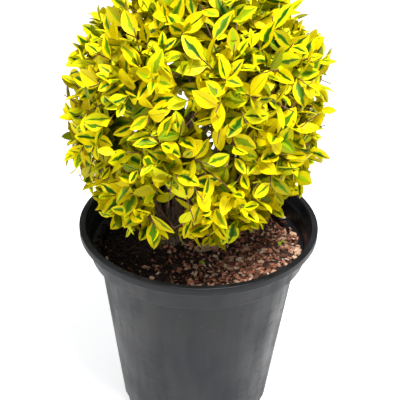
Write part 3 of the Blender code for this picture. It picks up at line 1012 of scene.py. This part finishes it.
@dataclass
class Crown:
    """The rounded crown: limbs, twigs and leaves grown by the source's rule, carried finer."""

    centre: Vector = field(default_factory=lambda: Vector((-0.004, 0.0, 0.392)))
    radius: float = 0.146
    lean: float = 0.060
    rings: tuple[Ring, ...] = (
        Ring("skirt", -37, 48, 6, 0.99, 0.62),
        Ring("waist", -3, 18, 6, 1.00, 0.52),
        Ring("shoulder", 35, 48, 6, 1.06, 0.46),
        Ring("top", 76, 20, 2, 1.03, 0.45),
    )
    stems: int = 7
    stem_radii: tuple[float, float] = (0.0034, 0.0017)
    stem_ring: float = 0.0062
    stem_foot: float = 0.6
    stem_splay: float = 0.34
    leader_splay: float = 0.10
    waist_fork: float = 0.50
    skirt_fork: float = 0.27
    top_fork: float = 0.70
    bough_radii: tuple[float, float] = (0.0023, 0.0014)
    bough_arch: float = 0.35
    bough_swings: tuple[float, ...] = (0.0, 0.25, -0.25, 0.5, -0.5, 0.8, -0.8)
    limb_gap: float = 0.0006
    cell_gap: float = -0.004
    rim_gap: float = 0.0015
    rim_clear: float = 0.018
    soil_gap: float = 0.006
    box_margin: float = 0.002
    seed: int = 200
    opening_inner: Vector = field(default_factory=lambda: Vector((-0.036, 0.0, 0.268)))
    opening_outer: Vector = field(default_factory=lambda: Vector((-0.029, -0.150, 0.362)))
    opening_radius: float = 0.017
    masses: list[Mass] = field(default_factory=list)
    limbs: list[Limb] = field(default_factory=list)
    carriers: dict[str, Limb] = field(default_factory=dict)

    def __post_init__(self) -> None:
        """Share the crown out and plan the limbs."""
        for ring in self.rings:
            rise = math.radians(ring.rise)
            for number in range(ring.count):
                azimuth = math.radians(ring.first) + number * math.tau / ring.count
                heading = Vector((math.cos(rise) * math.cos(azimuth), math.cos(rise) * math.sin(azimuth),
                                  math.sin(rise)))
                far = self.radius * (ring.reach - self.lean * heading.x * (0.5 - heading.z))
                door = self.centre + heading * (ring.door * far)
                middle = self.centre + heading * (0.8 * far)
                self.masses.append(Mass(ring.name, number + 1, heading, far, door, middle))
        self.plan_limbs()

    def plan_limbs(self) -> None:
        """Lay out every stem and bough as the source does."""
        rings = {ring.name: [mass for mass in self.masses if mass.ring == ring.name] for ring in self.rings}
        foot = STOOL + Vector((0, 0, STOOL_HEIGHT * self.stem_foot))
        wanted = []
        for number in range(self.stems):
            leader = number == self.stems - 1
            mass = rings["top"][0] if leader else rings["shoulder"][number]
            spoke = Vector((mass.heading.x, mass.heading.y, 0)).normalized()
            start = foot + (Vector() if leader else spoke * self.stem_ring)
            splay = self.leader_splay if leader else self.stem_splay
            pull = start + (UP + spoke * splay).normalized() * (mass.door - start).length * 0.55
            stem = Limb(f"stem_{number + 1}", start, pull, mass.door, self.stem_radii, 6, 7)
            self.limbs.append(stem)
            self.carriers[mass.node] = stem
            if leader:
                wanted.append((rings["top"][1], stem, self.top_fork))
            else:
                wanted.append((rings["waist"][number], stem, self.waist_fork))
                wanted.append((rings["skirt"][number], stem, self.skirt_fork))
        for mass, stem, share in wanted:
            bough = self.clear_bough(mass, stem, share)
            self.limbs.append(bough)
            self.carriers[mass.node] = bough

    def clear_bough(self, mass: Mass, stem: Limb, share: float) -> Limb:
        """Lay a bough, swung sideways until it clears the other limbs.

        Args:
            mass: The mass it leads to.
            stem: The stem it leaves.
            share: The share of the stem's length where it leaves.

        Returns:
            The bough.
        """
        trees = [limb.tree(self.limb_gap) for limb in self.limbs if limb is not stem]
        foot = walk(stem.path, share)[0]
        straight = mass.door - foot
        sideways = straight.cross(UP).normalized()
        bough = None
        for swing in self.bough_swings:
            bend = straight.normalized() + Vector((0, 0, self.bough_arch)) + sideways * swing
            pull = foot + bend * (straight.length * 0.45)
            bough = Limb(f"bough_{mass.ring}_{mass.number}", foot, pull, mass.door, self.bough_radii, 5, 6)
            tree = bough.tree(self.limb_gap)
            if not any(tree.overlap(other) for other in trees):
                break
        return bough

    def holds(self, mass: Mass, point: Vector, slack: float = 0.0) -> bool:
        """Test whether a point is in a mass's space, in the CAD's box and clear of the pot.

        Args:
            mass: The mass.
            point: The point.
            slack: How far past the mass's reach it may be.

        Returns:
            True where it is.
        """
        low, high = CAD_BOX
        margin = self.box_margin
        if any(not low[axis] + margin <= point[axis] <= high[axis] - margin for axis in range(3)):
            return False
        if (point - self.centre).length > mass.reach + slack:
            return False
        away = math.hypot(point.x, point.y)
        if point.z < POT_HEIGHT + self.rim_gap and away > RIM_RADIUS - LIP_WIDTH - self.rim_clear:
            return False
        if point.z < SOIL_LEVEL + self.soil_gap:
            return False
        for other in self.masses:
            if other is mass:
                continue
            apart = mass.middle - other.middle
            if (point - (mass.middle + other.middle) / 2).dot(apart) / apart.length < self.cell_gap:
                return False
        return True

    def in_opening(self, point: Vector) -> bool:
        """Test whether a point lies in the opening at the front where the stems show.

        Args:
            point: The point.

        Returns:
            True where it does.
        """
        along = (self.opening_outer - self.opening_inner).normalized()
        offset = point - self.opening_inner
        reach = offset.dot(along)
        return reach > 0 and (offset - along * reach).length < self.opening_radius

    def grow(self, twig_look: Look, leaf_looks: list[Look]) -> None:
        """Grow every mass's twigs and leaves.

        Args:
            twig_look: The twigs' finish.
            leaf_looks: The leaves' finishes in the order of Tint.
        """
        shape = bmesh.new()
        for limb in self.limbs:
            tube(shape, limb.path, tapered(limb.radii, limb.rings), 6)
        blocked = BVHTree.FromBMesh(shape)
        shape.free()
        total = 0
        for number, mass in enumerate(self.masses):
            rng = random.Random(self.seed + number)
            spray = Spray(self, mass, self.carriers[mass.node], blocked, rng)
            total += spray.build(twig_look, leaf_looks)
        LOG.info("leaves: %d", total)


@dataclass
class Spray:
    """The twigs and leaves of one mass, grown on from its stem or bough."""

    crown: Crown
    mass: Mass
    carrier: Limb
    blocked: BVHTree
    rng: random.Random
    stem_radii: tuple[float, float] = (0.0014, 0.0006)
    shoot_radii: tuple[float, float] = (0.0009, 0.0005)
    sides: int = 6
    stem_bends: int = 10
    shoot_bends: int = 6
    shoots: int = 20
    spread: float = math.radians(35)
    tries: tuple[float, ...] = (0.93, 0.84, 0.74, 0.62, 0.5)
    leaf_length: float = 0.0285
    leaf_spacing: float = 0.0096
    leafy_share: float = 0.85
    bare_share: float = 0.10
    bud_gap: float = 0.0006
    leaf_slack: float = 0.012
    openings: tuple[float, ...] = (24, 46, 60, 66)
    sizes: tuple[float, ...] = (0.62, 0.90, 1.0, 0.95)
    golden_share: float = 0.24
    shade_depth: float = 0.68
    mood: float = 0.0

    def build(self, twig_look: Look, leaf_looks: list[Look]) -> int:
        """Make the mass's twigs and leaves.

        Args:
            twig_look: The twigs' finish.
            leaf_looks: The leaves' finishes in the order of Tint.

        Returns:
            The number of leaves.
        """
        stem, *shoots = self.paths()
        twigs = bmesh.new()
        tube(twigs, stem, tapered(self.stem_radii, self.stem_bends), self.sides)
        for shoot in shoots:
            tube(twigs, shoot, tapered(self.shoot_radii, self.shoot_bends), self.sides)
        leaves = bmesh.new()
        total = sum(self.set_leaves(leaves, path) for path in (stem, *shoots))
        part = f"{self.mass.ring}_{self.mass.number}"
        add_piece(f"twigs_{part}", twigs, [twig_look], [self.mass.node])
        add_piece(f"leaves_{part}", leaves, leaf_looks, [self.mass.node])
        return total

    def paths(self) -> list[Path]:
        """Lay the mass's own stem and its side shoots.

        Returns:
            The paths, the stem's first.
        """
        heading, reach, centre = self.mass.heading, self.mass.reach, self.crown.centre
        start = self.carrier.path[-1]
        end = centre + heading * (reach * 0.88)
        pull = start + self.carrier.heading() * ((end - start).length * 0.4)
        stem = bent(start, pull, end, self.stem_bends)
        paths = [stem]
        side = heading.orthogonal().normalized()
        other = heading.cross(side)
        turn = self.rng.uniform(0, math.tau)
        for number in range(self.shoots):
            spread = self.spread * math.sqrt((number + 0.6) / self.shoots)
            angle = turn + number * GOLDEN_ANGLE
            across = side * math.cos(angle) + other * math.sin(angle)
            aim = heading * math.cos(spread) + across * math.sin(spread)
            share = 0.70 - 0.62 * spread / self.spread + self.rng.uniform(-0.06, 0.06)
            foot, ahead = walk(stem, max(share, 0.05))
            path = self.reach_out(foot, ahead, centre + aim * reach)
            if path:
                paths.append(path)
        return paths

    def reach_out(self, foot: Vector, ahead: Vector, target: Vector) -> Path:
        """Bend a side shoot towards its target, shorter until it fits.

        Args:
            foot: Where it leaves the mass's stem.
            ahead: The stem's heading there.
            target: The point it makes for.

        Returns:
            Its path, or nothing if no length fits.
        """
        for share in self.tries:
            tip = foot.lerp(target, share * self.rng.uniform(0.74, 1.06))
            tip += UP * self.rng.uniform(-0.002, 0.010)
            straight = tip - foot
            bend = straight.normalized() * 0.7 + ahead * 0.45 + UP * 0.08
            path = bent(foot, foot + bend * (straight.length * 0.5), tip, self.shoot_bends)
            if self.crown.holds(self.mass, tip) and self.crown.holds(self.mass, path[4]):
                return path
        return []

    def set_leaves(self, shape: Shape, path: Path) -> int:
        """Set crossed pairs of leaves along one shoot.

        Args:
            shape: The mesh of the mass's leaves.
            path: The shoot's path.

        Returns:
            The number of leaves.
        """
        rng = self.rng
        length = sum((b - a).length for a, b in zip(path, path[1:]))
        side = path[1].cross(path[0] + Vector((0.3, 0.2, 0.1))).normalized()
        self.mood = rng.random()
        made = 0
        for station in range(max(2, int(length * self.leafy_share / self.leaf_spacing)) + 1):
            share = 1.0 - (self.bud_gap + station * self.leaf_spacing) / length
            if share < self.bare_share:
                break
            root, along = walk(path, share)
            side = (side - along * side.dot(along)).normalized()
            crossed = side if station % 2 else along.cross(side)
            stage = min(station, len(self.sizes) - 1)
            for turn in (-1, 1):
                lean = math.radians(self.openings[stage]) + rng.gauss(0, 0.13)
                midrib = along * math.cos(lean) + crossed * (turn * math.sin(lean))
                midrib = (midrib + UP * 0.22 + along.cross(crossed) * rng.gauss(0, 0.26)).normalized()
                tumble = Vector((rng.gauss(0, 0.3), rng.gauss(0, 0.3), rng.gauss(0, 0.3)))
                face = (along + UP * 0.35 + tumble).normalized()
                size = self.leaf_length * self.sizes[stage] * rng.uniform(0.86, 1.16)
                if self.fits(root, midrib, size):
                    blade = Blade(size, size * rng.uniform(0.46, 0.58), rng.uniform(0.14, 0.42),
                                  rng.uniform(-0.10, 0.42), self.flames(), rng.gauss(0, 0.16))
                    slots = self.tints(root, station)
                    blade.add(shape, root, midrib, face, slots, rng.uniform(0, math.tau))
                    made += 1
        return made

    def fits(self, root: Vector, midrib: Vector, size: float) -> bool:
        """Test whether a leaf has room.

        Args:
            root: Where its stalk leaves the shoot.
            midrib: The midrib's heading.
            size: The leaf's length.

        Returns:
            True where it stays in its space, out of the front opening and off the limbs.
        """
        crown, mass = self.crown, self.mass
        tip = root + midrib * size
        if not (crown.holds(mass, tip, self.leaf_slack) and crown.holds(mass, root + midrib * size * 0.5)):
            return False
        if crown.in_opening(tip) or crown.in_opening(root):
            return False
        return self.blocked.ray_cast(root + midrib * 0.004, midrib, size)[0] is None

    def flames(self) -> tuple[float, float]:
        """Draw the strengths of a leaf's green flame.

        Returns:
            The strengths left and right of the midrib.
        """
        if self.rng.random() < self.golden_share:
            return (0.03, 0.03)
        width = self.rng.uniform(0.30, 0.86) * (0.8 + 0.4 * self.mood)
        return (width * self.rng.uniform(0.5, 1.1), width * self.rng.uniform(0.5, 1.1))

    def tints(self, root: Vector, station: int) -> tuple[int, int, int]:
        """Deal out one leaf's colours, greener and darker deep in the crown as painted shade.

        Args:
            root: Where its stalk leaves the shoot.
            station: The pair's number from the tip.

        Returns:
            Slots of margin, flame edge and flame heart.
        """
        kinds = list(Tint)
        depth = (root - self.crown.centre).length / self.mass.reach
        # Painted shade: leaves deep in the crown, and some further back on a shoot, mostly take the darker
        # amber and olive margins.
        shade = depth < self.shade_depth or (station > 2 and self.rng.random() < 0.4)
        shares = (1, 1, 3, 5) if shade else (6, 4 * self.mood + 1, 1.6, 0.5)
        margin = self.rng.choices((Tint.GOLD, Tint.LEMON, Tint.AMBER, Tint.OLIVE), shares)[0]
        edge = self.rng.choices((Tint.LIME, Tint.GREEN, Tint.GREY), (5, 3, 1))[0]
        heart = self.rng.choices((Tint.GREEN, Tint.DEEP, Tint.LIME), (4, 5, 2))[0]
        return (kinds.index(margin), kinds.index(edge), kinds.index(heart))


@dataclass(frozen=True)
class Lamp:
    """One soft square lamp."""

    name: str
    place: tuple[float, float, float]
    power: float
    size: float


@dataclass
class Studio:
    """Floor, soft lights and the camera at the photograph's angle."""

    rise: float = math.radians(31.7)
    distance: float = 0.900
    focal: float = 762.0
    roll: float = math.radians(1.42)
    rim_pixel: tuple[float, float] = (198.8, 217.5)
    picture: float = 400.0
    sensor: float = 36.0
    target: Vector = field(default_factory=lambda: Vector((0.0, 0.0, POT_HEIGHT)))
    sky: tuple[float, float, float, float] = (0.95, 0.97, 1.0, 1.0)
    sky_strength: float = 0.42
    lamps: tuple[Lamp, ...] = (
        Lamp("key", (0.3, -0.5, 1.7), 40.0, 0.5),
        Lamp("fill", (-1.2, -0.9, 0.9), 6.0, 1.4),
    )
    lamp_target: Vector = field(default_factory=lambda: Vector((0, 0, 0.3)))
    floor_size: float = 6.0
    floor_gap: float = 0.0005
    floor_tone: float = 0.92
    floor_glow: float = 0.6

    def set_camera(self) -> None:
        """Place the camera so that the rim's middle falls on its pixel."""
        camera = bpy.data.cameras.new("camera")
        camera.sensor_fit = "HORIZONTAL"
        camera.sensor_width = self.sensor
        camera.lens = self.focal / self.picture * self.sensor
        camera.shift_x = (self.picture / 2 - self.rim_pixel[0]) / self.picture
        camera.shift_y = (self.rim_pixel[1] - self.picture / 2) / self.picture
        ahead = Vector((0, math.cos(self.rise), -math.sin(self.rise)))
        stand = placed("camera", camera)
        place = Matrix.Translation(self.target - ahead * self.distance)
        turn = ahead.to_track_quat("-Z", "Y").to_matrix().to_4x4()
        stand.matrix_world = place @ turn @ Matrix.Rotation(self.roll, 4, "Z")
        bpy.context.scene.camera = stand

    def set_lights(self) -> None:
        """Hang a large key light, a fill and an even pale sky."""
        bpy.context.scene.view_settings.view_transform = "Standard"
        world = bpy.data.worlds.new("sky")
        bpy.context.scene.world = world
        world.use_nodes = True
        back = world.node_tree.nodes["Background"]
        back.inputs["Color"].default_value = self.sky
        back.inputs["Strength"].default_value = self.sky_strength
        for lamp in self.lamps:
            light = bpy.data.lights.new(lamp.name, "AREA")
            light.energy = lamp.power
            light.size = lamp.size
            hung = placed(lamp.name, light)
            hung.location = lamp.place
            aim = self.lamp_target - Vector(lamp.place)
            hung.rotation_euler = aim.to_track_quat("-Z", "Y").to_euler()

    def lay_floor(self) -> None:
        """Lay a plain pale floor under the pot."""
        shape = bmesh.new()
        bmesh.ops.create_grid(shape, x_segments=1, y_segments=1, size=self.floor_size)
        mesh = meshed("floor", shape)
        tone = self.floor_tone
        pale = Sheet("floor").dress(Base_Color=(tone, tone, tone, 1.0), Roughness=0.9,
                                    Emission_Color=(1.0, 1.0, 1.0, 1.0), Emission_Strength=self.floor_glow)
        mesh.materials.append(pale)
        floor = placed("floor", mesh)
        floor.location.z = -self.floor_gap


def main() -> None:
    """Build the part's looks in order and report each piece."""
    logging.basicConfig(level=logging.INFO, format="%(message)s")
    Pot().build()
    Ground().build()
    bark = Bark().make()
    Stool().build(bark)
    crown = Crown()
    for limb in crown.limbs:
        limb.build(bark)
    twig = Plain("twig", "6b4a30", 0.6).make()
    tints = [
        Plain(f"leaf_{tint.name.lower()}", tint.value, 0.50, 260.0, 0.0004, 0.10).make() for tint in Tint
    ]
    crown.grow(twig, tints)
    studio = Studio()
    studio.set_camera()
    studio.set_lights()
    studio.lay_floor()


if __name__ == "__main__":
    main()
